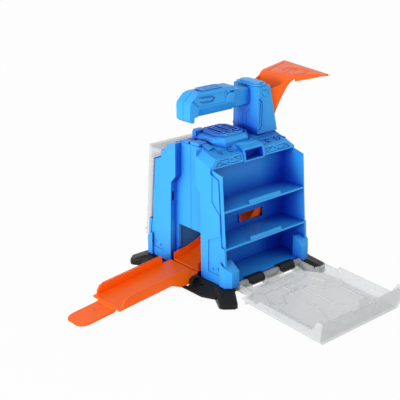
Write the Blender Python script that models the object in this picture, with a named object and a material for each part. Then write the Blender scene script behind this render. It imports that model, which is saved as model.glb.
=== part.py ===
# Toy garage: a portable two-sided housing for small cars, with a carrying handle, a chute and
# an inner slide, a fold-down ramp and two clear tray doors.
# Frame: X runs along the front, the front is -Y, Z is up. The origin is the centre of the base
# plate's flat underside. Lengths below are in millimetres and become metres in each mesh.
# Heights are measured from the table, and the parent empty brings them into the frame.
import bmesh
import bpy
from math import atan2, cos, pi, radians, sin, sqrt, tan
from mathutils import Matrix, Vector

MM = 0.001

# Driving dimensions
FOOT_DROP = 3.5          # the feet stand this far below the base plate's underside
HALF_WIDTH = 46.0        # outer faces of the side walls
OUT = HALF_WIDTH - 46.0  # what stands at the side walls moves out with them
WALL = 2.0               # housing wall
BODY_BOTTOM = 10.3       # underside of the housing
BAY_FLOOR = 12.3         # top of the housing's floor
SHELF_LOW = 41.6         # top of the lower shelf
SHELF_HIGH = 71.2        # top of the upper shelf
SHELF = 1.5              # shelf thickness
LIP_RISE = 3.0           # a shelf lip stands this far above the shelf
LIP_HALF = 17.3          # half the length of a lip
DIVIDER_OUT = 18.4       # bay side of the divider, from the parting plane
DIVIDER_IN = 16.6        # core side of the divider
ROOF_TOP = 113.4         # flat of the roof
ROOF_FLAT = 11.0         # the flat ends here, from the parting plane
EAVES = (28.0, 107.9)    # where the roof slope meets the truss face
TRUSS_FOOT = (29.5, 101.2)
LIP_FRONT_TOP = 98.5     # the side wall's top corner at the front
FRONT_LEAN = 4.5         # degrees, lean of the wall edges and of a closed door
EDGE_AT_70 = 42.93       # side wall edge at 70 mm over the table, from the parting plane
PARTING = 0.15           # half of the gap between two moulded halves
GAP = 0.3                # clearance between separate pieces

RECESS_FLOOR = HALF_WIDTH - 6.0
DOORWAY_HALF = 14.9
DOORWAY_TOP = 43.9

TOWER_HALF = 14.2        # half the tower's width
TOWER_WALL = 1.5
TOWER_LEFT = 16.9
TOWER_RIGHT = (40.8, 31.1)   # right edge at the foot and at the top
TOWER_TOP = 152.1

SLIDE_CENTRE = (-HALF_WIDTH, 100.0)
SLIDE_RADII = (38.5 + HALF_WIDTH, 85.5)
SLIDE_HALF = 16.0

DOOR_AXIS = (49.5, 10.3)     # distance from the parting plane, and height
DOOR_FACE = 5.3              # outer face of the door, from its axis
DOOR_LENGTH = 94.0
DOOR_PLATE = 1.5
DOOR_HALF = HALF_WIDTH
DOOR_TILT = 3.05             # degrees below level, front door open on the table
ROD_RADIUS = 2.0
CLIP_BORE = 2.25
CLIP_RADIUS = 4.3
CLIP_CENTRE = 17.3
CLIP_HALF = 7.85

RAMP_AXIS = (-7.5 - HALF_WIDTH, 9.0)     # x and height
RAMP_SLOPE = 5.45            # degrees, at rest
RAMP_HALF = 16.7
PIN_RADIUS = 1.6
PIN_BORE = 1.9

SLOPE = tan(radians(FRONT_LEAN))


# Clears the scene
for old in list(bpy.data.objects):
    bpy.data.objects.remove(old, do_unlink=True)


# Materials: one for each piece, in the colours of the moulded plastics
def makeMaterial(name, color, roughness, metallic=0.0, alpha=1.0):
    material = bpy.data.materials.new(name)
    material.use_nodes = True
    shader = material.node_tree.nodes["Principled BSDF"]
    shader.inputs["Base Color"].default_value = (*color, 1.0)
    shader.inputs["Roughness"].default_value = roughness
    shader.inputs["Metallic"].default_value = metallic
    shader.inputs["Alpha"].default_value = alpha
    return material


BLUE = (0.035, 0.26, 0.80)
ORANGE = (0.95, 0.13, 0.01)
BLACK = (0.016, 0.016, 0.018)
CLEAR = (0.80, 0.83, 0.88)
STEEL = (0.62, 0.62, 0.64)


# Geometry helpers
def asObject(name, mesh):
    thing = bpy.data.objects.new(name, mesh)
    bpy.context.scene.collection.objects.link(thing)
    return thing


def fromBmesh(name, shape):
    bmesh.ops.recalc_face_normals(shape, faces=shape.faces)
    mesh = bpy.data.meshes.new(name)
    shape.to_mesh(mesh)
    shape.free()
    return asObject(name, mesh)


def prism(points, axis, low, high):
    """Closed polygon in the two other axes, extruded along one axis."""
    shape = bmesh.new()
    rows = []
    for level in (low, high):
        row = []
        for a, b in points:
            place = {"X": (level, a, b), "Y": (a, level, b), "Z": (a, b, level)}[axis]
            row.append(shape.verts.new([value * MM for value in place]))
        rows.append(row)
    count = len(points)
    shape.faces.new(rows[0])
    shape.faces.new(rows[1])
    for i in range(count):
        j = (i + 1) % count
        shape.faces.new((rows[0][i], rows[0][j], rows[1][j], rows[1][i]))
    return fromBmesh("prism", shape)


def box(x0, x1, y0, y1, z0, z1):
    return prism([(x0, y0), (x1, y0), (x1, y1), (x0, y1)], "Z", z0, z1)


def hull(points):
    shape = bmesh.new()
    for place in points:
        shape.verts.new([value * MM for value in place])
    result = bmesh.ops.convex_hull(shape, input=shape.verts)
    spare = [item for item in result["geom_interior"] if isinstance(item, bmesh.types.BMVert)]
    bmesh.ops.delete(shape, geom=spare, context="VERTS")
    bmesh.ops.dissolve_limit(shape, angle_limit=0.001, verts=shape.verts, edges=shape.edges)
    return fromBmesh("hull", shape)


def rod(axis, centre, radius, low, high, sides=24, tip=None):
    """Round bar along an axis; centre holds the two other coordinates; tip is the far radius."""
    far = radius if tip is None else tip
    shape = bmesh.new()
    rows = []
    for level, size in ((low, radius), (high, far)):
        row = []
        for i in range(sides):
            turn = 2 * pi * i / sides
            a, b = centre[0] + size * cos(turn), centre[1] + size * sin(turn)
            place = {"X": (level, a, b), "Y": (a, level, b), "Z": (a, b, level)}[axis]
            row.append(shape.verts.new([value * MM for value in place]))
        rows.append(row)
    shape.faces.new(rows[0])
    shape.faces.new(rows[1])
    for i in range(sides):
        j = (i + 1) % sides
        shape.faces.new((rows[0][i], rows[0][j], rows[1][j], rows[1][i]))
    return fromBmesh("rod", shape)


def loft(stations):
    """Joins rings of equally many points, each a list of x, y, z, and caps both ends."""
    shape = bmesh.new()
    rings = []
    for station in stations:
        rings.append([shape.verts.new([value * MM for value in place]) for place in station])
    count = len(rings[0])
    for near, far in zip(rings, rings[1:]):
        for i in range(count):
            j = (i + 1) % count
            shape.faces.new((near[i], near[j], far[j], far[i]))
    shape.faces.new(rings[0])
    shape.faces.new(rings[-1])
    return fromBmesh("loft", shape)


def combine(body, tools, operation):
    for tool in tools:
        step = body.modifiers.new(operation.title(), "BOOLEAN")
        step.operation = operation
        step.solver = "EXACT"
        step.object = tool
    bpy.context.view_layer.update()
    graph = bpy.context.evaluated_depsgraph_get()
    mesh = bpy.data.meshes.new_from_object(body.evaluated_get(graph))
    body.modifiers.clear()
    body.data = mesh
    for tool in tools:
        bpy.data.objects.remove(tool, do_unlink=True)
    return body


def join(body, *tools):
    return combine(body, tools, "UNION")


def cut(body, *tools):
    return combine(body, tools, "DIFFERENCE")


def keep(body, tool):
    return combine(body, (tool,), "INTERSECT")


def mirrored(points, side):
    """Points given by their distance from the parting plane, for the half on this side."""
    return [(side * t, h) for t, h in points]


def bothWays(low, high, side):
    return (side * low, side * high) if side > 0 else (side * high, side * low)


ground = bpy.data.objects.new("toy_garage", None)
ground.location = (0.0, 0.0, -FOOT_DROP * MM)
bpy.context.scene.collection.objects.link(ground)


def finish(body, name, color, roughness, metallic=0.0, alpha=1.0, parent=ground, pivot=None):
    """Cleans a piece, names it, gives it its material and puts its origin on its pivot."""
    shape = bmesh.new()
    shape.from_mesh(body.data)
    bmesh.ops.remove_doubles(shape, verts=shape.verts, dist=0.000004)
    bmesh.ops.dissolve_degenerate(shape, edges=shape.edges, dist=0.000004)
    if pivot is not None:
        shift = Vector(pivot) * MM
        for vert in shape.verts:
            vert.co -= shift
    mesh = bpy.data.meshes.new(name)
    shape.to_mesh(mesh)
    shape.free()
    mesh.materials.clear()
    mesh.materials.append(makeMaterial(name, color, roughness, metallic, alpha))
    mesh.shade_smooth()
    mesh.set_sharp_from_angle(angle=radians(32))
    body.data = mesh
    body.name = name
    body.parent = parent
    if pivot is not None:
        body.location = Vector(pivot) * MM
    return body


# Housing: two moulded halves
def wallEdge(height):
    return EDGE_AT_70 + SLOPE * (70.0 - height)


def roofUnder(t):
    """Underside of the roof at a distance from the parting plane."""
    fall = (ROOF_TOP - EAVES[1]) / (EAVES[0] - ROOF_FLAT)
    return ROOF_TOP - 2.0 if t <= ROOF_FLAT else ROOF_TOP - 2.1 - fall * (t - ROOF_FLAT)


SHELL_SCREWS = [(-28.0, 92.0), (0.0, 100.0), (37.5, 24.0), (2.0, 19.0)]
BASE_SCREWS = [(-39.5 - OUT, -44.5), (39.5 + OUT, -44.5), (39.5 + OUT, 44.5),
               (-39.5 - OUT, 44.5)]


def cornerBlock(hand, side):
    plan = [(35.5, 41.0), (35.5, 51.2), (42.9, 51.2), (47.2, 46.9), (47.2, 41.0)]
    block = prism([(hand * (x + OUT), side * t) for x, t in plan], "Z", BODY_BOTTOM, 30.0)
    crown = [(30.0, 38.4), (51.2, 23.2), (80.0, 2.5), (80.0, 60.0), (30.0, 60.0)]
    return cut(block, prism(mirrored(crown, side), "X", -80, 80))


def cornerSpace(hand, side, inset):
    """Space outside a sloped corner of the roof, brought inwards by inset."""
    normal = Vector((0.586 * hand, 0.262 * side, 0.766)).normalized()
    centre = Vector((HALF_WIDTH * hand, 20.0 * side, 0.0))
    centre.z = (113.2 - 0.586 * 46.0 - 0.262 * 20.0) / 0.766
    centre -= normal * inset
    turn = normal.to_track_quat("Z", "Y").to_matrix().to_4x4()
    block = box(-60.0, 60.0, -60.0, 60.0, 0.0, 40.0)
    block.matrix_world = Matrix.Translation(centre * MM) @ turn
    space = box(*((20.0, 80.0) if hand > 0 else (-80.0, -20.0)),
                *bothWays(12.9 if hand < 0 else -1.0, 60.0, side), 95.0, 140.0)
    return keep(space, block)


def makeShell(side):
    outline = [
        (PARTING, BODY_BOTTOM), (wallEdge(BODY_BOTTOM), BODY_BOTTOM),
        (wallEdge(LIP_FRONT_TOP), LIP_FRONT_TOP), TRUSS_FOOT, EAVES,
        (ROOF_FLAT, ROOF_TOP), (PARTING, ROOF_TOP)]
    body = prism(mirrored(outline, side), "X", -HALF_WIDTH, HALF_WIDTH)

    # Corner blocks at the feet of the side walls
    for hand in (-1, 1):
        join(body, cornerBlock(hand, side))

    # Three open bays, shaped in plan round the box of the ramp recess
    inner, behind = HALF_WIDTH - WALL, RECESS_FLOOR - WALL
    plan = [(inner, DIVIDER_OUT), (inner, 60.0), (-inner, 60.0), (-inner, 20.8),
            (-behind, 20.8), (-behind, DIVIDER_OUT)]
    plan = [(x, side * t) for x, t in plan]
    low = prism(plan, "Z", BAY_FLOOR, SHELF_LOW - SHELF)
    middle = prism(plan, "Z", SHELF_LOW, SHELF_HIGH - SHELF)
    high = prism(plan, "Z", SHELF_HIGH, 118.0)
    ceiling = [(10.0, 130.0), (10.0, 111.6), (EAVES[0] - 2.0, roofUnder(26.0)),
               (27.4, TRUSS_FOOT[1] + 0.05), (45.0, TRUSS_FOOT[1] + 0.05), (45.0, 130.0)]
    cut(high, prism(mirrored(ceiling, side), "X", -60, 60), cornerSpace(-1, side, 1.8),
        cornerSpace(1, side, 1.8))
    cut(body, low, middle, high)
    join(body, cornerBlock(-1, side), cornerBlock(1, side))

    # Lips along the middle of the shelf edges
    for top in (SHELF_LOW, SHELF_HIGH):
        edge = wallEdge(top)
        face = [(-LIP_HALF, top - SHELF), (LIP_HALF, top - SHELF), (LIP_HALF, top + 1.8),
                (LIP_HALF - 1.2, top + LIP_RISE), (-LIP_HALF + 1.2, top + LIP_RISE),
                (-LIP_HALF, top + 1.8)]
        lip = prism(face, "Y", *bothWays(edge - 1.8, edge - 0.2, side))
        join(body, lip)

    # Core between the dividers, for the slide, and the window over the middle shelf
    core = [(-2.0, BAY_FLOOR), (DIVIDER_IN, BAY_FLOOR), (DIVIDER_IN, roofUnder(DIVIDER_IN)),
            (ROOF_FLAT, roofUnder(ROOF_FLAT)), (-2.0, roofUnder(0.0))]
    core = prism(mirrored(core, side), "X", -behind, inner)
    cut(core, cornerSpace(-1, side, 1.8), cornerSpace(1, side, 1.8))
    window = box(-3.5, 22.0, *bothWays(14.0, 20.0, side), 44.7, 52.6)
    sill = box(-22.0, -5.0, *bothWays(DIVIDER_OUT - 0.8, 20.0, side), 44.7, 52.6)
    cut(body, core, window, sill)

    # Ramp recess with its doorway, and the slot in its side wall
    recess = [(-2.0, 0.0), (18.8, 0.0), (18.8, 25.0), (17.3, 80.0), (11.8, 86.0), (11.8, 130.0),
              (-2.0, 130.0)]
    recess = prism(mirrored(recess, side), "X", -80.0, -RECESS_FLOOR)
    doorway = [(-2.0, BAY_FLOOR), (16.4, BAY_FLOOR), (16.4, 21.5), (DOORWAY_HALF, 23.5),
               (DOORWAY_HALF, DOORWAY_TOP), (-2.0, DOORWAY_TOP)]
    doorway = prism(mirrored(doorway, side), "X", -RECESS_FLOOR - 1.0, -RECESS_FLOOR + 3.0)
    slot = box(-HALF_WIDTH + 1.3, -HALF_WIDTH + 3.6, *bothWays(16.0, 21.6, side), 64.1, 71.6)
    cut(body, recess, doorway, slot)

    cut(body, cornerSpace(-1, side, 0.0), cornerSpace(1, side, 0.0))

    # Shaft opening in the roof
    cut(body, box(18.8, 38.2, *bothWays(-2.0, 12.4, side), 105.0, 120.0))

    # Latch pocket in the middle of the truss
    profile = [(19.8, 100.3), (29.9, 100.3), (30.1, 101.6), (29.3, 107.0), (27.6, 110.4),
               (23.4, 111.9), (23.4, 108.6), (19.8, 108.6)]
    frame = prism(mirrored(profile, side), "X", -11.2, 11.2)
    cheek = [(18.6, 109.0), (18.6, 112.3), (23.6, 111.8), (25.0, 107.0)]
    cheeks = [prism(mirrored(cheek, side), "X", x, x + 1.8) for x in (-11.2, 9.4)]
    join(body, frame, *cheeks)
    pocket = [(21.6, 101.6), (40.0, 101.6), (40.0, 109.2), (27.0, 109.2), (24.0, 108.0),
              (22.6, 106.8), (21.6, 106.8)]
    cut(body, prism(mirrored(pocket, side), "X", -9.4, 9.4))

    # Recesses of the truss face
    for hand in (-1, 1):
        for field in (
                [(13.2, 102.6), (13.2, 106.6), (22.4, 106.6)],
                [(15.4, 102.4), (24.5, 106.3), (24.5, 102.4)],
                [(26.0, 102.4), (26.0, 106.6), (36.8, 106.6)],
                [(27.6, 102.4), (37.6, 106.0), (40.6, 102.4)]):
            hollow = prism([(hand * x, h) for x, h in field], "Y", -0.55, 0.55)
            lean = atan2(TRUSS_FOOT[0] - EAVES[0], EAVES[1] - TRUSS_FOOT[1])
            middle = (EAVES[0] + TRUSS_FOOT[0]) / 2
            height = (EAVES[1] + TRUSS_FOOT[1]) / 2
            shift = Matrix.Translation(Vector((0.0, side * middle, height)) * MM)
            back = Matrix.Translation(Vector((0.0, 0.0, -height)) * MM)
            hollow.matrix_world = shift @ Matrix.Rotation(side * lean, 4, "X") @ back
            cut(body, hollow)

    # Rabbet on the outside of the wall edges, where a closed door's rim sits
    band = [(29.0, 120.0), (29.0, 98.3), (37.2, 94.8), (41.55, 42.0), (60.0, 42.0),
            (60.0, 120.0)]
    for hand in (-1, 1):
        low, high = HALF_WIDTH - 1.3, HALF_WIDTH + 14.0
        cut(body, prism(mirrored(band, side), "X", *((low, high) if hand > 0 else (-high, -low))))

    # Room at the floor's edge for the hinge tubes and clips
    trims = [box(-35.2 - OUT, 35.2 + OUT, *bothWays(46.5, 60.0, side), 0.0, 20.0)]
    for hand in (-1, 1):
        low, high = CLIP_CENTRE - CLIP_HALF - GAP, CLIP_CENTRE + CLIP_HALF + GAP
        low, high = (low, high) if hand > 0 else (-high, -low)
        trims.append(box(low, high, *bothWays(44.6, 60.0, side), 0.0, 20.0))
    cut(body, *trims)

    # Shallow facets on the wall beside the ramp recess
    facets = ([(30.6, 76.5), (30.6, 102.4), (37.0, 99.6), (40.6, 66.5)],
              [(27.3, 18.0), (27.3, 44.6), (40.9, 51.2), (45.2, 24.0), (40.0, 18.0)])
    for points in facets:
        rings = []
        for depth, grow in ((0.5, 1.0), (-1.0, 1.0)):
            rings.append([(-HALF_WIDTH + depth, side * t, h) for t, h in points])
        cut(body, loft(rings))

    # Bosses and holes of the screws
    for x, h in SHELL_SCREWS:
        join(body, rod("Y", (x, h), 3.0, *bothWays(PARTING, DIVIDER_IN + 0.5, side), 20))
    holes = []
    for x, h in SHELL_SCREWS:
        if side > 0:
            holes.append(rod("Y", (x, h), 1.6, -1.0, 13.0, 16))
            holes.append(rod("Y", (x, h), 2.7, 12.0, 30.0, 20))
        else:
            holes.append(rod("Y", (x, h), 1.3, -12.5, 1.0, 16))
    for x, y in BASE_SCREWS:
        if y * side > 0:
            holes.append(rod("Z", (x, y), 1.3, 5.0, 22.0, 16))
    cut(body, *holes)

    # Two shallow panels and a deeper triangle on each roof slope, and one beside the tower
    for corners, deep in (
            ([(-30.0, 13.4), (-28.3, 18.9), (-13.2, 18.9), (-13.2, 24.6), (-29.3, 24.6),
              (-35.5, 15.8), (-33.8, 13.4)], 0.6),
            ([(13.4, 20.4), (36.6, 20.4), (33.6, 25.4), (13.4, 25.4)], 0.6),
            ([(40.0, 12.9), (41.4, 14.6), (38.4, 18.9), (15.4, 18.9), (15.4, 15.8)], 0.6)):
        fall = (ROOF_TOP - EAVES[1]) / (EAVES[0] - ROOF_FLAT)
        rings = []
        for lift in (-deep, 3.0):
            rings.append([(x, side * t, ROOF_TOP - fall * (t - ROOF_FLAT) + lift)
                          for x, t in corners])
        cut(body, loft(rings))
    return body


frontShell = finish(makeShell(-1), "front_shell", BLUE, 0.32)
rearShell = finish(makeShell(1), "rear_shell", BLUE, 0.32)


# Raised cover on the roof
def octagon(x0, x1, half, corner):
    return [(x0 + corner, -half), (x1 - corner, -half), (x1, -half + corner),
            (x1, half - corner), (x1 - corner, half), (x0 + corner, half),
            (x0, half - corner), (x0, -half + corner)]


def makeHatch():
    lower = octagon(-27.4, 11.4, 18.0, 7.2)
    upper = octagon(-25.4, 9.4, 15.4, 6.4)
    rings = [[(x, y, 107.0) for x, y in lower], [(x, y, 115.2) for x, y in lower],
             [(x, y, 118.2) for x, y in upper]]
    body = loft(rings)
    crown = loft([[(x, y, 117.6) for x, y in octagon(-21.0, 7.8, 14.4, 5.8)],
                  [(x, y, 119.8) for x, y in octagon(-20.2, 7.0, 13.6, 5.4)]])
    join(body, crown)
    under = [(-30.0, 100.0), (-30.0, EAVES[1] - 0.35), (-ROOF_FLAT, ROOF_TOP + GAP),
             (ROOF_FLAT, ROOF_TOP + GAP), (30.0, EAVES[1] - 0.35), (30.0, 100.0)]
    slots = [box(x - 1.2, x + 1.2, -8.0, 8.0, 118.5, 122.0) for x in (-14.0, -6.6, 0.8)]
    cut(body, prism(under, "X", -60, 60), *slots)
    return body


roofHatch = finish(makeHatch(), "roof_hatch", BLUE, 0.34)


# Tower with neck and carrying handle: two moulded halves
# Screws of the handle: x, height, side face and length
TOWER_SCREWS = [(-42.0, 143.8, 8.0, 9.2), (-23.0, 142.0, 7.4, 8.6), (-8.0, 147.2, 8.0, 9.2),
                (9.0, 144.0, 4.8, 5.6)]


def towerEdge(height):
    foot, top = TOWER_RIGHT
    return foot + (top - foot) * (height - ROOF_TOP) / (TOWER_TOP - ROOF_TOP)


def makeTower(side):
    foot = ROOF_TOP + GAP
    outline = [(TOWER_LEFT, foot), (towerEdge(foot), foot), (towerEdge(TOWER_TOP), TOWER_TOP),
               (TOWER_LEFT, TOWER_TOP)]
    body = prism(outline, "Y", *bothWays(PARTING, TOWER_HALF, side))
    inside = [(TOWER_LEFT + TOWER_WALL, 100.0), (60.0, 100.0), (60.0, TOWER_TOP - 1.5),
              (TOWER_LEFT + TOWER_WALL, TOWER_TOP - 1.5)]
    cut(body, prism(inside, "Y", *bothWays(-5.0, TOWER_HALF - TOWER_WALL, side)))
    edge = [(TOWER_LEFT - 2.0, side * 7.0), (TOWER_LEFT - 2.0, side * (TOWER_HALF + 2.0)),
            (TOWER_LEFT + 2.1, side * (TOWER_HALF + 2.0)),
            (TOWER_LEFT + 1.6, side * TOWER_HALF), (TOWER_LEFT, side * 7.0)]
    fill = [(TOWER_LEFT + 1.2, side * 5.6), (TOWER_LEFT + 1.2, side * (TOWER_HALF - 1.2)),
            (TOWER_LEFT + 3.2, side * (TOWER_HALF - 1.2))]
    join(body, prism(fill, "Z", foot, TOWER_TOP))
    cut(body, prism(edge, "Z", 100.0, 170.0))

    # Handle: side faces, ridge and lower chamfers, with a slanted end
    section = [(PARTING, 136.4), (4.5, 136.4), (8.0, 143.0), (8.0, 153.4), (6.0, 155.2),
               (PARTING, 155.2)]
    arm = prism(mirrored(section, side), "X", -48.0, -1.0)
    ends = [(-60.0, 120.0), (-47.5, 120.0), (-47.5, 146.4), (-46.4, 148.6), (-41.2, 153.2),
            (-38.4, 155.3), (-38.4, 170.0), (-60.0, 170.0)]
    cut(arm, prism(ends, "Y", -20.0, 20.0))
    hook = [(-47.5, 135.0), (-45.4, 133.0), (-41.2, 133.0), (-39.2, 138.4), (-38.0, 144.6),
            (-47.5, 144.6)]
    join(arm, prism(hook, "Y", *bothWays(PARTING, 7.9, side)))
    neck = [(PARTING, 136.8), (4.0, 136.8), (4.8, 138.0), (4.8, 149.8), (3.6, 151.0),
            (PARTING, 151.0)]
    join(body, prism(mirrored(neck, side), "X", -2.0, TOWER_LEFT + 0.7))
    join(body, arm)

    # Hollow of the handle, open at the parting plane
    core = [(-2.0, 138.4), (3.2, 138.4), (6.2, 143.6), (6.2, 152.4), (5.2, 153.4),
            (-2.0, 153.4)]
    core = prism(mirrored(core, side), "X", -45.8, -3.0)
    corner = [(-60.0, 120.0), (-45.7, 120.0), (-45.7, 145.8), (-44.8, 147.4), (-40.2, 151.5),
              (-37.6, 153.5), (-37.6, 170.0), (-60.0, 170.0)]
    cut(core, prism(corner, "Y", -20.0, 20.0))
    cut(body, core)
    lower = [(-45.8, 135.8), (-44.7, 134.6), (-42.2, 134.6), (-40.8, 139.5), (-45.8, 139.5)]
    cut(body, prism(lower, "Y", *bothWays(-2.0, 3.4, side)))
    edge = [(-43.6, 8.6), (-43.6, 8.0), (-39.9, 4.6), (-36.0, 4.6), (-36.0, 8.6)]
    cut(body, prism([(x, side * t) for x, t in edge], "Z", 130.0, 136.9))
    cut(body, prism(mirrored([(-2, 138.6), (3.2, 138.6), (3.2, 149.2), (-2, 149.2)], side),
                    "X", -4.0, TOWER_LEFT - 0.8))

    # Pad on top, groove and slot lines on the side, groove on the tower
    raised = prism(octagon(-33.0, -10.4, 5.0, 2.0), "Z", 154.6, 156.3)
    keep(raised, box(-60, 60, *bothWays(PARTING, 20.0, side), 100, 170))
    join(body, raised)
    grooves = [box(20.4, 21.6, *bothWays(TOWER_HALF - 0.5, 20.0, side), 118.5, 142.4)]
    slotLine = [(-37.6, 147.5), (-24.6, 147.0), (-22.0, 149.2), (-25.2, 151.7),
                (-37.6, 152.3), (-37.6, 151.2), (-25.8, 150.6), (-24.0, 149.2),
                (-25.2, 148.1), (-37.6, 148.6)]
    grooves.append(prism(slotLine, "Y", *bothWays(7.5, 12.0, side)))
    bend = [(-45.9, 149.9), (-39.4, 144.3), (-38.7, 145.1), (-45.2, 150.7)]
    grooves.append(prism(bend, "Y", *bothWays(7.6, 12.0, side)))
    fold = [(-12.0, 153.0), (-9.6, 150.2), (-9.6, 146.4), (-6.2, 142.6), (-5.4, 143.3),
            (-8.7, 147.0), (-8.7, 150.6), (-11.2, 153.6)]
    grooves.append(prism(fold, "Y", *bothWays(7.6, 12.0, side)))
    grooves.append(box(-6.6, -2.2, *bothWays(6.8, 12.0, side), 149.6, 152.2))
    chevron = [(22.6, 145.4), (26.0, 148.0), (29.6, 145.4), (29.6, 146.6), (26.0, 149.2),
               (22.6, 146.6)]
    grooves.append(prism(chevron, "Y", *bothWays(TOWER_HALF - 0.5, 20.0, side)))
    cut(body, *grooves)

    # Bosses and holes of the screws
    for x, h, face, length in TOWER_SCREWS:
        join(body, rod("Y", (x, h), 2.8, *bothWays(PARTING, face - 1.0, side), 18))
    holes = []
    for x, h, face, length in TOWER_SCREWS:
        if side > 0:
            holes.append(rod("Y", (x, h), 1.15, -1.0, face - 1.5, 16))
            holes.append(rod("Y", (x, h), 2.25, face - 2.6, 30.0, 18))
        else:
            holes.append(rod("Y", (x, h), 1.1, face - 2.2 - length, 1.0, 16))
    cut(body, *holes)
    return body


towerFront = finish(makeTower(-1), "tower_front", BLUE, 0.32)
towerRear = finish(makeTower(1), "tower_rear", BLUE, 0.32)


# Stepped cap on the tower
def makeCap():
    low = TOWER_TOP + GAP
    body = loft([[(x, y, low) for x, y in octagon(17.2, 31.0, 13.8, 3.4)],
                 [(x, y, low + 1.2) for x, y in octagon(17.6, 30.6, 13.4, 3.4)]])
    crown = loft([[(x, y, low + 0.8) for x, y in octagon(18.8, 29.6, 11.6, 2.8)],
                  [(x, y, low + 2.6) for x, y in octagon(19.6, 28.8, 10.6, 2.6)]])
    return join(body, crown)


towerCap = finish(makeCap(), "tower_cap", BLUE, 0.32)


# Chute: mouth plate with rims, convex bend and throat that slips into the tower's open side
def makeChute():
    line = [(35.4, 117.0), (36.4, 123.0), (39.2, 131.8), (42.6, 140.0), (46.0, 146.6),
            (48.4, 150.4), (51.4, 153.5), (54.6, 155.4), (58.0, 156.0), (62.0, 156.2)]
    outer = []
    for i, (x, h) in enumerate(line):
        before, after = line[max(i - 1, 0)], line[min(i + 1, len(line) - 1)]
        dx, dh = after[0] - before[0], after[1] - before[1]
        size = sqrt(dx * dx + dh * dh)
        outer.append((x + 1.5 * dh / size, h - 1.5 * dx / size))
    outer[0] = (outer[0][0], 117.0)

    def widened(x, y, h):
        extra = 0.25 * (x - 40.8 + 0.2395 * (h - 112.4))
        return (x, y + (extra if y > 0 else -extra), h)

    rings = []
    for (x, h), (xo, ho) in zip(line, outer):
        rings.append([widened(x, -12.2, h), widened(x, 12.2, h), widened(xo, 12.2, ho),
                      widened(xo, -12.2, ho)])
    body = loft(rings)

    # Side walls of the throat, between the bend and the tower
    rim = [(p[0] + 0.6, p[1] - 0.4) for p in line[1:7]]
    rim = [(36.0, 120.0)] + rim + [(33.4, 147.5), (34.6, 135.0), (34.2, 120.0)]
    for hand in (-1, 1):
        stations = []
        for level in (10.9, 12.2):
            stations.append([widened(x, hand * level, h) for x, h in rim])
        join(body, loft(stations))

    # Mouth plate, wider at its far end, with rims under its sides
    plate = [(56.5, -18.7), (79.0, -33.6), (91.5, 27.6), (56.5, 18.7)]
    tilt = 0.045
    rings = []
    for lift in (-1.5, 0.0):
        rings.append([(x, y, 156.0 + lift + tilt * (x - 57.0)) for x, y in plate])
    join(body, loft(rings))
    for near, far in (((56.5, -18.7), (72.0, -29.0)), ((56.5, 18.7), (79.0, 24.4))):
        inward = 1.3 if near[1] < 0 else -1.3
        rings = []
        for (x, y), tall in ((near, 3.4), (far, 1.3)):
            top = 156.0 + tilt * (x - 57.0) - 0.7
            rings.append([(x, y, top), (x, y, top - tall), (x, y + inward, top - tall),
                          (x, y + inward, top)])
        join(body, loft(rings))
    return body


chute = finish(makeChute(), "chute", ORANGE, 0.34)


# Inner slide: a quarter ellipse from under the shaft to the doorway
def makeSlide():
    cx, ch = SLIDE_CENTRE
    rx, rh = SLIDE_RADII
    stations = [(cx + rx, 109.0, -1.0, 0.0)]
    steps = 22
    for i in range(steps + 1):
        turn = pi / 2 * (1 - i / steps)
        x, h = cx + rx * sin(turn), ch - rh * cos(turn)
        nx, nh = -sin(turn) / rx, cos(turn) / rh
        size = sqrt(nx * nx + nh * nh)
        stations.append((x, h, nx / size, nh / size))
    stations[-1] = (cx + 0.2, ch - rh, 0.0, 1.0)
    section = [(-SLIDE_HALF, -1.5), (SLIDE_HALF, -1.5), (SLIDE_HALF, 6.0),
               (SLIDE_HALF - 1.4, 6.0), (SLIDE_HALF - 1.4, 0.0), (-SLIDE_HALF + 1.4, 0.0),
               (-SLIDE_HALF + 1.4, 6.0), (-SLIDE_HALF, 6.0)]
    rings = []
    for x, h, nx, nh in stations:
        rings.append([(x + nx * n, y, h + nh * n) for y, n in section])
    body = loft(rings)
    # The last stretch, in the ramp recess, has no side walls and passes between the ramp's
    end = -RECESS_FLOOR - 1.6
    ends = [box(end - 20.0, end, *bothWays(14.7, 30.0, hand), 0.0, 50.0) for hand in (-1, 1)]
    return cut(body, *ends)


slideTrack = finish(makeSlide(), "slide_track", ORANGE, 0.36)


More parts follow.
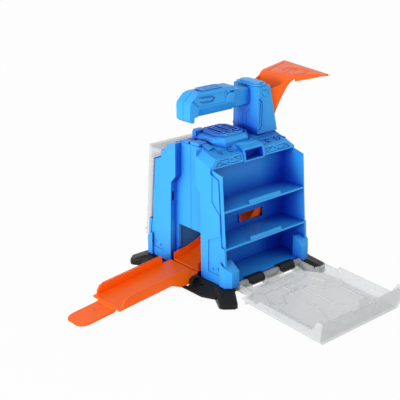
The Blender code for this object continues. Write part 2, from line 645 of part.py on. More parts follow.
# Tray door, modelled by its length w from the axis and its inward normal n
def makeDoor():
    face = -DOOR_FACE
    rise = tan(radians(FRONT_LEAN))
    crest = DOOR_LENGTH + rise * 18.0
    rim = face + 9.5
    deep = face + 18.0

    def tray(inset):
        side = DOOR_HALF - inset
        plate = face + inset * (DOOR_PLATE / 1.2)
        flat = side - 3.4
        top = DOOR_LENGTH - inset
        low = -2.4 if inset == 0 else 1.0
        outline = [(-flat, plate), (flat, plate), (side, plate + 3.6), (side, deep + 4.0),
                   (-side, deep + 4.0), (-side, plate + 3.6)]
        return [[(x, w + wide * (n - face), n) for x, n in outline]
                for w, wide in ((low, 0.0), (top, rise))]

    body = loft(tray(0.0))
    inside = [[(x, w, n + (3.0 if n > 10 else 0.0)) for x, w, n in ring] for ring in tray(1.2)]
    cut(body, loft(inside))

    # Edge of the rim: low at the hinge end, higher along the sides, deepest at the top
    brim = [(-20.0, rim - 2.7 - 1.6), (10.0, rim - 2.7), (32.0, rim - 2.7), (33.5, rim),
            (DOOR_LENGTH - 8.5, rim), (DOOR_LENGTH - 3.8, deep), (crest + 20, deep),
            (crest + 20, 40.0), (-20.0, 40.0)]
    cut(body, prism(brim, "X", -80, 80))

    # Walls along the lower corners, and along the inner ends of the clip windows
    corner = DOOR_HALF - 11.1
    for hand in (-1, 1):
        plan = [(corner - 1.2, -0.9), (corner, -0.9), (corner, 14.1), (corner + 3.6, 18.6),
                (DOOR_HALF - 0.6, 18.6), (DOOR_HALF - 0.6, 19.8), (corner + 3.0, 19.8),
                (corner - 1.2, 14.5)]
        plan = [(hand * x, w) for x, w in plan]
        join(body, prism(plan, "Z", -DOOR_FACE + 0.3, rim - 2.7 - 0.6))
        low, high = (8.6, 26.0) if hand > 0 else (-26.0, -8.6)
        join(body, box(low, high, 7.4, 8.6, -DOOR_FACE + 0.3, -1.6))

    # Diagonal notches at the lower corners, which pass the housing's corner blocks
    notch = [(-20.0, -20.0), (14.5, -20.0), (14.5, -2.6), (18.7, 2.4), (18.7, 40.0),
             (-20.0, 40.0)]
    for hand in (-1, 1):
        low, high = corner, corner + 30.0
        cut(body, prism(notch, "X", *((low, high) if hand > 0 else (-high, -low))))
        away = [(corner, 10.0), (corner, 14.0), (corner + 3.6, 18.5), (corner + 30.0, 18.5),
                (corner + 30.0, 10.0)]
        cut(body, prism([(hand * x, w) for x, w in away], "Z", -20.0, -2.0))

    # Low wall of the hinge end, its tubes and rod, and the windows round the clips
    cut(body, box(-80, 80, -20.0, 3.0, -2.2, 40.0))
    tubes = []
    for low, high in ((-34.5, -25.5), (-9.1, 9.1), (25.5, 34.5)):
        tubes.append(rod("X", (0.0, 0.0), 2.5, low, high, 24))
        tubes.append(box(low, high, -2.4, -0.9, -DOOR_FACE + 0.2, 0.0))
        tubes.append(box(low, low + 1.4, -2.4, 7.0, -DOOR_FACE + 0.2, 0.0))
        tubes.append(box(high - 1.4, high, -2.4, 7.0, -DOOR_FACE + 0.2, 0.0))
    join(body, *tubes)
    for hand in (-1, 1):
        low, high = (9.1, 25.5) if hand > 0 else (-25.5, -9.1)
        cut(body, box(low, high, -20.0, 7.4, -20.0, 20.0))
    join(body, rod("X", (0.0, 0.0), ROD_RADIUS, -34.45, 34.45, 20))

    # Latch: a gap in the top wall and a tongue through it
    cut(body, box(-13.5, 13.5, DOOR_LENGTH - 6.0, DOOR_LENGTH + 16.0, 10.2, 40.0))
    level = DOOR_LENGTH
    tongue = [(level - 0.9, 8.0), (level + 0.2, 8.0), (level + 0.9, 16.2),
              (level + 0.4, 17.4), (level - 0.6, 17.4), (level - 0.8, 15.0), (level - 0.7, 13.6)]
    join(body, prism(tongue, "X", -6.6, 6.6))
    return body


def placeDoor(body, side, name, opened):
    """Puts a door on its axis: side is -1 at the front, opened is degrees from closed."""
    across = 1.0 if side < 0 else -1.0
    lean = radians(FRONT_LEAN - opened)
    along = Vector((0.0, across * sin(lean), cos(lean)))
    inward = Vector((0.0, across * cos(lean), -sin(lean)))
    turn = Matrix(((1, 0, 0), (0, along.y, inward.y), (0, along.z, inward.z))).to_4x4()
    mesh = body.data
    mesh.transform(turn)
    if turn.determinant() < 0:
        mesh.flip_normals()
    pivot = (0.0, side * DOOR_AXIS[0], DOOR_AXIS[1])
    mesh.transform(Matrix.Translation(Vector(pivot) * MM))
    return finish(body, name, CLEAR, 0.30, 0.0, 0.35, ground, pivot)


OPEN_TRAVEL = FRONT_LEAN + 90.0 + DOOR_TILT
frontDoor = placeDoor(makeDoor(), -1, "front_door", OPEN_TRAVEL)
rearDoor = placeDoor(makeDoor(), 1, "rear_door", 0.0)


# Ramp: floor with side walls, knuckle ears on the axis, and a tongue that meets the table
def makeRamp():
    ax, ah = RAMP_AXIS
    a = radians(RAMP_SLOPE)

    def place(u, v):
        return (ax - u * cos(a) - v * sin(a), ah - u * sin(a) + v * cos(a))

    def piece(points, low, high):
        return prism([place(u, v) for u, v in points], "Y", low, high)

    floor = 3.12
    top = floor + 1.5
    rim = floor + 7.86
    body = piece([(-6.2, floor), (71.6, floor), (71.6, top), (-6.2, top)], -RAMP_HALF, RAMP_HALF)
    arc = [(68.4 - 7.2 + 7.2 * sin(t), rim - 7.2 + 7.2 * cos(t))
           for t in [i * pi / 2 / 7 for i in range(8)]]
    wall = [(3.5, rim)] + arc + [(68.4, floor), (3.5, floor)]
    ear = [(3.2 * cos(t), 3.2 * sin(t)) for t in [pi + i * (pi / 2) / 6 for i in range(7)]]
    ear = ear + [(3.5, -2.3), (12.1, -1.46), (20.8, floor + 0.1), (20.8, top), (-3.2, top)]
    for hand in (-1, 1):
        low, high = (RAMP_HALF - 1.5, RAMP_HALF) if hand > 0 else (-RAMP_HALF, -RAMP_HALF + 1.5)
        join(body, piece(wall, low, high))
        low, high = (RAMP_HALF - 3.4, RAMP_HALF) if hand > 0 else (-RAMP_HALF, -RAMP_HALF + 3.4)
        join(body, piece(ear, low, high))
        low, high = (RAMP_HALF - 1.0, RAMP_HALF + 2.2) if hand > 0 else (
            -RAMP_HALF - 2.2, -RAMP_HALF + 1.0)
        join(body, rod("Y", RAMP_AXIS, PIN_RADIUS, low, high, 20))

    # Ribs under the knuckle, and the rails under the floor
    ribs = []
    for y in (-8.0, -2.7, 2.7, 8.0):
        ribs.append(piece(ear[:-2] + [(20.8, top - 0.3), (-3.2, top - 0.3)], y - 0.7, y + 0.7))
    for y0, y1 in ((-14.2, -12.6), (-4.5, 4.5), (12.6, 14.2)):
        ribs.append(piece([(18.0, floor + 0.3), (71.0, floor + 0.3), (70.4, floor - 0.8),
                           (19.0, floor - 0.8)], y0, y1))
    join(body, *ribs)

    # Tongue
    profile = [(-121.0, 6.6), (-124.4, 6.35), (-126.0, 4.3), (-150.0, 1.75), (-154.6, 1.2),
               (-156.0, 0.6), (-156.0, 0.25), (-155.3, 0.02), (-149.0, 0.1), (-125.6, 2.6),
               (-121.0, 5.75)]
    tongue = prism([(x - OUT, h) for x, h in profile], "Y", -10.7, 10.7)
    corners = []
    for hand in (-1, 1):
        plan = [(-160.0, hand * 20.0), (-160.0, hand * 5.2), (-156.1, hand * 5.2),
                (-154.2, hand * 8.4), (-151.0, hand * 10.2), (-147.0, hand * 10.75),
                (-147.0, hand * 20.0)]
        corners.append(prism([(x - OUT, y) for x, y in plan], "Z", -5.0, 20.0))
    cut(tongue, *corners)
    join(body, tongue)
    return body


ramp = finish(makeRamp(), "ramp", ORANGE, 0.34, pivot=(RAMP_AXIS[0], 0.0, RAMP_AXIS[1]))


# Base: plate with flared skirt, feet, hinge clips, ramp cheeks and screw bosses
def makeBase():
    low, high = FOOT_DROP, BODY_BOTTOM - GAP
    bottom = [(56.2, 46.3), (61.0, 36.0), (61.0, 24.0), (60.0, 13.5)]
    points = []
    for sx in (-1, 1):
        for sy in (-1, 1):
            points += [(sx * (x + OUT), sy * y, low) for x, y in bottom]
            points += [(sx * (x + OUT), sy * y, low + 1.2) for x, y in bottom]
            points += [(sx * (HALF_WIDTH + 1.0), sy * 46.3, high),
                       (sx * (HALF_WIDTH - 6.0), sy * 46.3, high)]
    body = hull(points)

    # Pockets from above, between ribs
    pockets = []
    for x0, x1 in ((2.2 - HALF_WIDTH, -30.5), (-29.0, -1.0), (1.0, 29.0),
                   (30.5, HALF_WIDTH - 1.0)):
        for y0, y1 in ((-33.0, -1.0), (1.0, 33.0)):
            pockets.append(box(x0, x1, y0, y1, low + 2.0, high + 5.0))
    cut(body, *pockets)

    # Diagonal feet
    for sx in (-1, 1):
        for sy in (-1, 1):
            inner = [(36.5, 46.2), (49.5, 37.5)]
            outer = [(46.4, 60.8), (48.2, 63.2), (51.4, 63.2), (58.2, 57.6), (59.2, 54.6),
                     (58.0, 52.0)]
            feet = [(x, y, 0.0) for x, y in ((39.0, 48.6), (50.5, 39.5))]
            feet += [(x, y, 0.0) for x, y in outer]
            feet += [(x, y, 3.6) for x, y in outer]
            feet += [(x, y, high) for x, y in ((42.0, 50.2), (50.2, 43.6))]
            feet += [(x, y, 9.0) for x, y in ((44.2, 53.2), (52.0, 47.0))]
            feet += [(x, y, high) for x, y in inner]
            feet += [(x, y, low) for x, y in inner]
            join(body, hull([(sx * (x + OUT), sy * y, h) for x, y, h in feet]))

    # Hinge clips at the front and the rear
    for sy in (-1, 1):
        for sx in (-1, 1):
            x0, x1 = sx * CLIP_CENTRE - CLIP_HALF, sx * CLIP_CENTRE + CLIP_HALF
            axis = (sy * DOOR_AXIS[0], DOOR_AXIS[1])
            join(body, rod("X", axis, CLIP_RADIUS, x0, x1, 28))
            arm = [(sy * 44.8, 5.0), (sy * 49.0, 6.2), (sy * 49.0, 14.2), (sy * 46.6, 13.4),
                   (sy * 44.8, 11.0)]
            join(body, prism(arm, "X", x0, x1))
            bore = rod("X", axis, CLIP_BORE, x0 - 1, x1 + 1, 24)
            mouth = prism([(sy * 47.9, -5.0), (sy * 51.1, -5.0), (sy * 51.1, DOOR_AXIS[1]),
                           (sy * 47.9, DOOR_AXIS[1])], "X", x0 - 1, x1 + 1)
            cut(body, bore, mouth)

    # Cheeks that carry the ramp, and the open notch between them
    ax, ah = RAMP_AXIS
    for sy in (-1, 1):
        y0, y1 = (17.5, 20.6) if sy > 0 else (-20.6, -17.5)
        cheek = rod("Y", RAMP_AXIS, 3.7, y0, y1, 24)
        web = prism([(ax - 4.2, low + 0.4), (ax - 3.6, ah), (ax + 3.6, ah), (ax + 5.0, low + 0.4)],
                    "Y", y0, y1)
        join(body, cheek, web)
    notch = box(ax - 4.7, ax + 7.9, -17.2, 17.2, -5.0, 30.0)
    above = box(ax - 26.5, ax + 7.9, -17.2, 17.2, 5.3, 30.0)
    cut(body, notch, above)
    cut(body, rod("Y", RAMP_AXIS, PIN_BORE, -19.4, 19.4, 20))

    # Holes of the base screws, with counterbores from below
    holes = []
    for x, y in BASE_SCREWS:
        holes.append(rod("Z", (x, y), 1.6, -5.0, 15.0, 16))
        holes.append(rod("Z", (x, y), 3.1, -5.0, 6.4, 20))
    cut(body, *holes)

    # Shallow recess with a small round hole on each slope of the skirt at the ramp side
    for sy in (-1, 1):
        slope = (high - low - 1.2) / 14.0
        rings = []
        for lift in (-0.5, 3.0):
            rings.append([(-(x + OUT), sy * y, low + 1.2 + slope * (61.0 - x) + lift)
                          for x, y in ((56.6, 22.6), (56.6, 33.4), (49.0, 36.0), (49.0, 22.6))])
        cut(body, loft(rings))
        cut(body, rod("Z", (-51.5 - OUT, sy * 26.0), 1.3, low + 2.6, 20.0, 14))
    return body


baseFrame = finish(makeBase(), "base_frame", BLACK, 0.42)


# Screws: pan head with a cross recess and a pointed shank
def makeScrew(name, start, direction, length, shank, head, tall, number):
    shape = bmesh.new()
    sides = 14
    profile = [(head * 0.86, -tall), (head, -tall * 0.55), (head, 0.0), (shank, 0.0),
               (shank, length - shank), (shank * 0.35, length)]
    rows = []
    for radius, along in profile:
        rows.append([shape.verts.new((radius * cos(2 * pi * i / sides) * MM,
                                      radius * sin(2 * pi * i / sides) * MM, along * MM))
                     for i in range(sides)])
    for near, far in zip(rows, rows[1:]):
        for i in range(sides):
            j = (i + 1) % sides
            shape.faces.new((near[i], near[j], far[j], far[i]))
    shape.faces.new(rows[0])
    shape.faces.new(rows[-1])
    body = fromBmesh(name, shape)
    arm = head * 0.58
    cut(body, box(-arm, arm, -0.28, 0.28, -tall - 1, -tall * 0.35),
        box(-0.28, 0.28, -arm, arm, -tall - 1, -tall * 0.35))
    turn = Vector(direction).to_track_quat("Z", "Y").to_matrix().to_4x4()
    body.data.transform(turn)
    body.data.transform(Matrix.Translation(Vector(start) * MM))
    finish(body, f"{name}_{number}", STEEL, 0.34, 1.0, pivot=start)


for i, (x, y) in enumerate(BASE_SCREWS):
    makeScrew("base_screw", (x, y, 6.1), (0, 0, 1), 15.0, 1.0, 2.6, 1.5, i + 1)
for i, (x, h) in enumerate(SHELL_SCREWS):
    makeScrew("shell_screw", (x, 13.3, h), (0, -1, 0), 24.5, 1.0, 2.3, 1.4, i + 1)
for i, (x, h, face, length) in enumerate(TOWER_SCREWS):
    start = (x, face - 2.3, h)
    makeScrew("tower_screw", start, (0, -1, 0), length - 0.4, 0.8, 1.9, 1.2, i + 1)
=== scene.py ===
# Toy garage: blue housing with handle, chute, ramp and two clear tray doors.
# The frame is in metres. Forms are given in millimetres, with their heights over the table.
from math import atan2, cos, pi, radians, sin, sqrt

import bmesh
import bpy
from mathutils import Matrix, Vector


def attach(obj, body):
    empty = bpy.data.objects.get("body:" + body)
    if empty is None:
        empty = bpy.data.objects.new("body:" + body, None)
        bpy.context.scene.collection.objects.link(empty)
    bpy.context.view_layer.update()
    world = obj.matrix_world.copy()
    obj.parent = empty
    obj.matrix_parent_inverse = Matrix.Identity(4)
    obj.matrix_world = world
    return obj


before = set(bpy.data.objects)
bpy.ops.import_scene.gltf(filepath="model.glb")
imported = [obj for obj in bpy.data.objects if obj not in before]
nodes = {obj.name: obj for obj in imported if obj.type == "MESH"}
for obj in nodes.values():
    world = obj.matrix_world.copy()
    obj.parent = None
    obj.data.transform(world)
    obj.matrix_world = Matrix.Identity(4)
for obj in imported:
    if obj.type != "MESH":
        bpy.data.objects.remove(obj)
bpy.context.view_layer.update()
print("frame:", len(nodes), "nodes")

mm = 0.001
tableDrop = 3.5  # the table lies this far under the frame's origin

# Camera
cameraView = {
    "azimuth": -41.55,  # degrees, from the front towards the ramp
    "elevation": 20.31,
    "distance": 730.83 * mm,
    "target": (-22.85 * mm, 8.65 * mm, 58.16 * mm),
    "lens": 81.28, "sensor": 36.0,  # both in millimetres, as Blender takes them
    "clip": (0.01, 50.0),
}


def makeCamera(view):
    turn, rise = radians(view["azimuth"]), radians(view["elevation"])
    back = Vector((sin(turn) * cos(rise), -cos(turn) * cos(rise), sin(rise)))
    data = bpy.data.cameras.new("camera")
    data.lens, data.sensor_width = view["lens"], view["sensor"]
    data.clip_start, data.clip_end = view["clip"]
    camera = bpy.data.objects.new("camera", data)
    bpy.context.scene.collection.objects.link(camera)
    camera.location = Vector(view["target"]) + back * view["distance"]
    camera.rotation_euler = (-back).to_track_quat("-Z", "Y").to_euler()
    bpy.context.scene.camera = camera


makeCamera(cameraView)
print("camera set")


# Shader maths: a wire wraps an output socket, and an expression on wires adds Math nodes
class Wire:
    def __init__(self, look, socket):
        self.look, self.socket = look, socket

    def maths(self, operation, other, swapped=False):
        pair = (other, self) if swapped else (self, other)
        return self.look.node("ShaderNodeMath", {"operation": operation}, {0: pair[0], 1: pair[1]})

    def __add__(self, other):
        return self.maths("ADD", other)

    def __radd__(self, other):
        return self.maths("ADD", other, True)

    def __sub__(self, other):
        return self.maths("SUBTRACT", other)

    def __rsub__(self, other):
        return self.maths("SUBTRACT", other, True)

    def __mul__(self, other):
        return self.maths("MULTIPLY", other)

    def __rmul__(self, other):
        return self.maths("MULTIPLY", other, True)


# One material or world under construction: its node method makes every node and its links
class Look:
    def __init__(self, name, world=None):
        self.owner = world or bpy.data.materials.new(name)
        self.owner.use_nodes = True
        self.tree = self.owner.node_tree
        self.tree.nodes.clear()
        self.end = self.tree.nodes.new(
            "ShaderNodeOutputWorld" if world else "ShaderNodeOutputMaterial")

    def node(self, kind, settings=None, sockets=None, output=0):
        made = self.tree.nodes.new(kind)
        for key, value in (settings or {}).items():
            setattr(made, key, value)
        for key, value in (sockets or {}).items():
            self.plug(made.inputs[key], value)
        return Wire(self, made.outputs[output])

    def plug(self, socket, value):
        if isinstance(value, Wire):
            self.tree.links.new(value.socket, socket)
        elif isinstance(value, (tuple, list)) and socket.type == "RGBA":
            socket.default_value = (*value[:3], 1.0)
        else:
            socket.default_value = value

    # A Mix node has sockets of one name for each type of data, so they are found by both
    def mix(self, factor, first, second):
        mixed = self.tree.nodes.new("ShaderNodeMix")
        mixed.data_type = "RGBA"
        for key, value in {"Factor": factor, "A": first, "B": second}.items():
            kind = "VALUE" if key == "Factor" else "RGBA"
            self.plug(next(s for s in mixed.inputs if s.name == key and s.type == kind), value)
        return Wire(self, next(s for s in mixed.outputs if s.type == "RGBA"))

    def noise(self, place, scale, detail):
        return self.node("ShaderNodeTexNoise", {},
                         {"Vector": place, "Scale": scale, "Detail": detail})

    # Maps a range of values to 0 to 1
    def span(self, value, limits, settings=None):
        return self.node("ShaderNodeMapRange", settings,
                         {"Value": value, "From Min": limits[0], "From Max": limits[1]})

    # 1 where a ray sees the plain white background: straight, mirrored or through clear plastic
    def seesWhite(self):
        camera, glossy, clear = (
            self.node("ShaderNodeLightPath", output=ray)
            for ray in ("Is Camera Ray", "Is Glossy Ray", "Is Transmission Ray"))
        return camera + glossy + clear

    def finish(self, surface):
        self.tree.links.new(surface.socket, self.end.inputs["Surface"])
        return self.owner


# Moulded plastic: slight flow marks in the colour, painted shade that deepens the colour in
# hollows, painted highlights that make edges paler, fine bump and varied gloss. The first
# dictionary holds for every colour.
moulding = {
    "cloud": (22.0, 3.0), "smear": (160.0, 4.0), "grain": (2600.0, 2.0),  # scale and detail
    "flowRange": (0.35, 0.7), "edgeRange": (0.985, 0.80), "edgeRadius": 0.35 * mm, "samples": 6,
    "smearGloss": 0.16, "cloudGloss": 0.06, "smearBump": 0.8, "bumpDepth": 0.06 * mm,
    "refraction": 1.45, "coatRoughness": 0.2,
}
# Besides its own colour and flow colour, each colour below gives a painted shade colour for its
# hollows and a painted highlight colour for its edges.
bluePlastic = {
    "color": (0.036, 0.375, 0.86), "flow": (0.028, 0.35, 0.84), "highlightColor": (0.15, 0.58, 0.98),
    "hollow": (0.003, 0.028, 0.45), "reach": 28 * mm, "hollowRange": (0.40, 0.94),
    "roughness": 0.36, "coat": 0.03, "grain": 0.10, "edge": 0.6, "shine": 0.28,
}
orangePlastic = {
    "color": (1.0, 0.135, 0.003), "flow": (0.99, 0.118, 0.002), "highlightColor": (1.0, 0.26, 0.05),
    "hollow": (0.74, 0.035, 0.001), "reach": 12 * mm, "hollowRange": (0.15, 0.65),
    "roughness": 0.36, "coat": 0.05, "grain": 0.10, "edge": 0.45, "shine": 0.25,
}
blackPlastic = {
    "color": (0.008, 0.008, 0.008), "flow": (0.005, 0.005, 0.005), "highlightColor": (0.035, 0.035, 0.036),
    "hollow": (0.003, 0.003, 0.003), "reach": 10 * mm, "hollowRange": (0.2, 0.8),
    "roughness": 0.42, "coat": 0.02, "grain": 0.22, "edge": 0.6, "shine": 0.22,
}


def makePlastic(name, finish):
    look = Look(name)
    place = look.node("ShaderNodeTexCoord", output="Object")
    cloud, smear, grain = (
        look.noise(place, *moulding[key]) for key in ("cloud", "smear", "grain"))
    rounded = look.node("ShaderNodeBevel", {"samples": moulding["samples"]},
                        {"Radius": moulding["edgeRadius"]})
    # Painted highlight: the bevelled normal against the flat one marks rounded edges, which are
    # painted paler, less so in hollows.
    flat = look.node("ShaderNodeNewGeometry", output="Normal")
    along = look.node("ShaderNodeVectorMath", {"operation": "DOT_PRODUCT"}, {0: rounded, 1: flat},
                      output="Value")
    edge = look.span(along, moulding["edgeRange"])
    # Painted shade: where ambient occlusion finds a hollow, the colour is drawn towards a deep
    # shade colour.
    openness = look.node("ShaderNodeAmbientOcclusion", {"samples": moulding["samples"]},
                         {"Distance": finish["reach"]}, output="AO")
    light = look.span(openness, finish["hollowRange"], {"interpolation_type": "SMOOTHSTEP"})
    flow = look.span(cloud, moulding["flowRange"])
    tone = look.mix(light, finish["hollow"], look.mix(flow, finish["color"], finish["flow"]))
    # Paints the edge highlight over the colour that carries the painted shade.
    color = look.mix(edge * light * finish["edge"], tone, finish["highlightColor"])
    gloss = (finish["roughness"] + (smear - 0.5) * moulding["smearGloss"]
             + (cloud - 0.5) * moulding["cloudGloss"])
    bump = look.node("ShaderNodeBump", {}, {
        "Strength": finish["grain"], "Distance": moulding["bumpDepth"],
        "Height": grain + smear * moulding["smearBump"], "Normal": rounded})
    surface = look.node("ShaderNodeBsdfPrincipled", {}, {
        "Base Color": color, "Roughness": gloss, "Normal": bump, "IOR": moulding["refraction"],
        "Specular IOR Level": finish["shine"], "Coat Weight": finish["coat"],
        "Coat Roughness": moulding["coatRoughness"]})
    return look.finish(surface)


# Frosted clear plastic of the doors, and the whiter plastic of their raised lines
frosting = {
    "cloud": (30.0, 3.0), "grain": (1800.0, 2.0), "rimBlend": 0.35, "cloudAlpha": 0.12,
    "cloudGloss": 0.18, "bump": 0.12, "bumpDepth": 0.05 * mm, "refraction": 1.45,
}
clearPlastic = {"color": (0.60, 0.63, 0.625), "haze": (0.66, 0.69, 0.68), "alpha": 0.33,
                "roughness": 0.26, "rim": 0.22}
ridgePlastic = {"color": (0.84, 0.86, 0.86), "haze": (0.88, 0.90, 0.90), "alpha": 0.50,
                "roughness": 0.22, "rim": 0.30}


def makeClear(name, finish):
    look = Look(name)
    place = look.node("ShaderNodeTexCoord", output="Object")
    cloud, grain = (look.noise(place, *frosting[key]) for key in ("cloud", "grain"))
    facing = look.node("ShaderNodeLayerWeight", {}, {"Blend": frosting["rimBlend"]},
                       output="Facing")
    alpha = (finish["alpha"] + facing * finish["rim"]
             + (cloud - 0.5) * frosting["cloudAlpha"])
    gloss = finish["roughness"] + (cloud - 0.5) * frosting["cloudGloss"]
    bump = look.node("ShaderNodeBump", {}, {
        "Strength": frosting["bump"], "Distance": frosting["bumpDepth"], "Height": grain})
    color = look.mix(cloud, finish["color"], finish["haze"])
    surface = look.node("ShaderNodeBsdfPrincipled", {}, {
        "Base Color": color, "Roughness": gloss, "Normal": bump, "Alpha": alpha,
        "IOR": frosting["refraction"]})
    return look.finish(surface)


# Plain steel of the screws
steelFinish = {"color": (0.62, 0.62, 0.64), "dark": (0.45, 0.45, 0.47), "roughness": 0.34,
               "scratch": (900.0, 5.0), "scratchGloss": 0.3}


def makeSteel(name, finish):
    look = Look(name)
    place = look.node("ShaderNodeTexCoord", output="Object")
    scratch = look.noise(place, *finish["scratch"])
    gloss = finish["roughness"] + (scratch - 0.5) * finish["scratchGloss"]
    color = look.mix(scratch, finish["color"], finish["dark"])
    surface = look.node("ShaderNodeBsdfPrincipled", {}, {
        "Base Color": color, "Metallic": 1.0, "Roughness": gloss})
    return look.finish(surface)


looks = {
    "body_blue": makePlastic("body_blue", bluePlastic),
    "orange": makePlastic("orange", orangePlastic),
    "black": makePlastic("black", blackPlastic),
    "clear": makeClear("clear", clearPlastic),
    "ridge": makeClear("clear_ridge", ridgePlastic),
    "screw_steel": makeSteel("screw_steel", steelFinish),
}
nodesOfLook = {
    "body_blue": ("front_shell", "rear_shell", "roof_hatch", "tower_front", "tower_rear",
                  "tower_cap"),
    "orange": ("chute", "slide_track", "ramp"),
    "black": ("base_frame",),
    "clear": ("front_door", "rear_door"),
}
lookOfNode = {node: look for look, group in nodesOfLook.items() for node in group}
for name, thing in nodes.items():
    thing.data.materials.clear()
    thing.data.materials.append(looks[lookOfNode.get(name, "screw_steel")])
print("materials made")


# Surfaces that carry details. Each place function turns two coordinates on a surface and a lift
# above it into a point of the frame. A side is -1 at the front and 1 at the rear.
surfaces = {
    "wall": 46.0,  # outer faces of the two end walls, from the middle
    "roof": 113.4, "roofFlat": 11.0, "roofFall": 0.3235, "roofOut": (0.308, 0.951),
    "bandCentre": (28.75, 104.55), "bandLean": (1.5, 6.7),
    "doorHinge": (49.5, 6.8), "doorLean": 4.5, "doorDepth": 3.8,  # in the frame's own heights
    "rampHinge": (-53.5, 5.5), "rampFall": 5.45, "rampFloor": 4.62,
}


def point(x, y, height):
    return Vector((x, y, height - tableDrop)) * mm


def onRampEnd(t, h, lift):
    return point(-surfaces["wall"] - lift, t, h)


def onChuteEnd(t, h, lift):
    return point(surfaces["wall"] + lift, t, h)


def onSlope(side):
    outY, outZ = surfaces["roofOut"]

    def place(x, t, lift):
        h = surfaces["roof"] - surfaces["roofFall"] * (t - surfaces["roofFlat"])
        return point(x, side * (t + outY * lift), h + outZ * lift)
    return place


def onBand(side):
    centre, middle = surfaces["bandCentre"]
    lean = atan2(*surfaces["bandLean"])

    def place(x, h, lift):
        along = h - middle
        return point(x, side * (centre - along * sin(lean) + lift * cos(lean)),
                     middle + along * cos(lean) + lift * sin(lean))
    return place


def onFace(side, depth):
    def place(x, h, lift):
        return point(x, side * (depth + lift), h)
    return place


def onTop(level, tilt=0.0, start=0.0):
    def place(x, y, lift):
        return point(x, y, level + tilt * (x - start) + lift)
    return place


def onDoor(side, opened):
    lean = radians(surfaces["doorLean"] - opened)
    along = Vector((0.0, -side * sin(lean), cos(lean)))
    inward = Vector((0.0, -side * cos(lean), -sin(lean)))
    hinge = Vector((0.0, side * surfaces["doorHinge"][0], surfaces["doorHinge"][1]))

    def place(x, w, lift):
        inset = lift - surfaces["doorDepth"]
        return (hinge + Vector((x, 0.0, 0.0)) + along * w + inward * inset) * mm
    return place


def onRamp(u, y, lift):
    fall, v = radians(surfaces["rampFall"]), surfaces["rampFloor"] + lift
    x, z = surfaces["rampHinge"]
    return Vector((x - u * cos(fall) - v * sin(fall), y, z - u * sin(fall) + v * cos(fall))) * mm


# Moves the points of a path sideways, to its left, and keeps sharp corners from running far out
def shifted(points, amount, closed=True):
    leastCosine = 0.4
    moved, count = [], len(points)
    for i, (x, y) in enumerate(points):
        sides = []
        for a, b in ((i - 1, i), (i, i + 1)):
            if not closed and (a < 0 or b >= count):
                continue
            p, q = points[a % count], points[b % count]
            size = sqrt((q[0] - p[0]) ** 2 + (q[1] - p[1]) ** 2)
            sides.append(((p[1] - q[1]) / size, (q[0] - p[0]) / size))
        nx, ny = sum(s[0] for s in sides), sum(s[1] for s in sides)
        size = sqrt(nx * nx + ny * ny)
        nx, ny = nx / size, ny / size
        reach = amount / max(nx * sides[0][0] + ny * sides[0][1], leastCosine)
        moved.append((x + nx * reach, y + ny * reach))
    return moved


# Outline of a slot with round ends, whose half circles have their centres at the two points
def stadium(x0, y0, x1, y1, radius, steps=6):
    turn = atan2(y1 - y0, x1 - x0)
    points = []
    for cx, cy, start in ((x1, y1, turn - pi / 2), (x0, y0, turn + pi / 2)):
        for i in range(steps + 1):
            a = start + pi * i / steps
            points.append((cx + radius * cos(a), cy + radius * sin(a)))
    return points


def mirrored(points, hand=-1):
    return [(hand * x, y) for x, y in points]


buried = -0.15  # the feet of low forms lie this far under their surface


# Collects raised plates, ribs, blocks and buttons in one mesh of closed forms
class Relief:
    def __init__(self, name, body, slot, look=None):
        self.name, self.body, self.slot = name, body, slot
        self.look = looks[look or slot]
        self.shape = bmesh.new()

    # Joins rings of points in turn, then closes the two ends, or joins the last ring to the first
    def loops(self, rings, ends=True):
        rows = [[self.shape.verts.new(p) for p in ring] for ring in rings]
        for near, far in zip(rows, rows[1:]):
            for i in range(len(near)):
                j = (i + 1) % len(near)
                self.shape.faces.new((near[i], near[j], far[j], far[i]))
        first, last = rows[0], rows[-1]
        if ends:
            self.shape.faces.new(first)
            self.shape.faces.new(last)
        else:
            for i in range(len(first)):
                j = (i + 1) % len(first)
                self.shape.faces.new((last[i], last[j], first[j], first[i]))

    def plate(self, place, outline, top, foot=buried, slope=0.2):
        area = sum(p[0] * q[1] - q[0] * p[1] for p, q in zip(outline, outline[1:] + outline[:1]))
        if area < 0:
            outline = outline[::-1]
        steps = [(0.0, foot), (0.0, top - slope), (slope * 0.3, top - slope * 0.3), (slope, top)]
        self.loops([[place(x, y, lift) for x, y in shifted(outline, inset)]
                    for inset, lift in steps])

    def rib(self, place, path, width, top, closed=False):
        half, slope = width / 2, min(width / 4, top * 0.6)
        edges = [(half, buried), (half, top - slope), (half - slope, top), (slope - half, top),
                 (-half, top - slope), (-half, buried)]
        rows = [[place(x, y, lift) for x, y in shifted(path, offset, closed)]
                for offset, lift in edges]
        self.loops(list(zip(*rows)), not closed)

    def block(self, side, low, high):
        self.loops([[point(x, side * t, h) for x, t, h in ring] for ring in (low, high)])

    def button(self, place, x, y, radius, top, foot=buried, corners=14):
        rings = []
        for size, lift in ((1.0, foot), (1.0, top * 0.5), (0.8, top * 0.9), (0.4, top)):
            turns = [2 * pi * i / corners for i in range(corners)]
            rings.append([place(x + radius * size * cos(a), y + radius * size * sin(a), lift)
                          for a in turns])
        self.loops(rings)

    def done(self):
        bmesh.ops.recalc_face_normals(self.shape, faces=self.shape.faces)
        mesh = bpy.data.meshes.new(self.name)
        self.shape.to_mesh(mesh)
        self.shape.free()
        mesh.materials.append(self.look)
        mesh.shade_smooth()
        mesh.set_sharp_from_angle(angle=radians(38))
        piece = bpy.data.objects.new(self.name, mesh)
        bpy.context.scene.collection.objects.link(piece)
        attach(piece, self.body)


